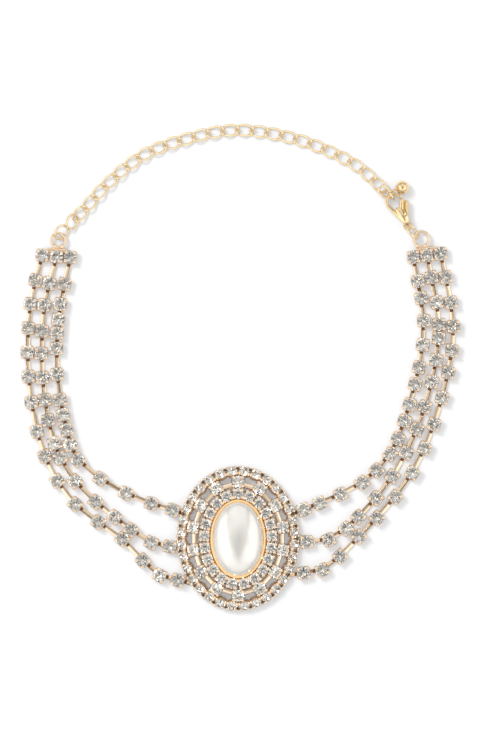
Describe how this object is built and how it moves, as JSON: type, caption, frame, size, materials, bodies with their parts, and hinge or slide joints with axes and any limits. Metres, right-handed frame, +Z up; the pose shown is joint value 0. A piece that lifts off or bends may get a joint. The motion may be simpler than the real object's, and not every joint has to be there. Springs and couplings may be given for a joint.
{
  "type": "choker necklace",
  "caption": "Choker of rhinestone cup-chain strands joined at an oval pearl medallion, closed at the back by a lobster clasp and a curb extender chain with a ball drop.",
  "frame": {"origin": "middle of the underside, on the surface that the necklace lies on", "axes": "+Z up out of the stones, +Y from the medallion towards the extender chain and along the loop, +X to the right seen from above"},
  "size_m": [0.1096, 0.1216, 0.0074],
  "materials": {
    "pearl": "nacre coating",
    "bezel_gold": "polished orange gold plating",
    "set_stones": "foil-backed faceted glass in plated cups",
    "cup_gold": "polished pale gold plating",
    "chain_gold": "polished yellow gold plating"
  },
  "bodies": {
    "necklace": {"pearl": "pearl", "bezel": "bezel_gold", "ring_inner": "set_stones", "ring_middle": "set_stones", "ring_outer": "set_stones", "strand_left_outer": "set_stones", "strand_left_middle": "set_stones", "strand_left_inner": "set_stones", "strand_right_outer": "set_stones", "strand_right_middle": "set_stones", "strand_right_inner": "set_stones", "end_bar_left": "cup_gold", "end_bar_right": "cup_gold", "jump_ring_1": "chain_gold", "jump_ring_2": "chain_gold", "extender_link_01": "chain_gold", "extender_link_02": "chain_gold", "extender_link_03": "chain_gold", "extender_link_04": "chain_gold", "extender_link_05": "chain_gold", "extender_link_06": "chain_gold", "extender_link_07": "chain_gold", "extender_link_08": "chain_gold", "extender_link_09": "chain_gold", "extender_link_10": "chain_gold", "extender_link_11": "chain_gold", "extender_link_12": "chain_gold", "extender_link_13": "chain_gold", "extender_link_14": "chain_gold", "extender_link_15": "chain_gold", "extender_link_16": "chain_gold", "extender_link_17": "chain_gold", "extender_link_18": "chain_gold", "extender_link_19": "chain_gold", "extender_link_20": "chain_gold", "extender_link_21": "chain_gold", "extender_link_22": "chain_gold", "extender_link_23": "chain_gold", "extender_link_24": "chain_gold", "extender_end_link": "chain_gold", "clasp_link": "chain_gold", "ball_drop": "chain_gold", "clasp_body": "chain_gold"},
    "lever": {"clasp_lever": "chain_gold"}
  },
  "joints": [
    {"name": "clasp_lever", "type": "hinge", "parent": "necklace", "child": "lever", "pos_m": [0.04093, 0.03696, 0.0015], "axis": [0, 0, 1], "range_deg": [0, 14], "stiffness_Nm_per_rad": 0.0005}
  ]
}
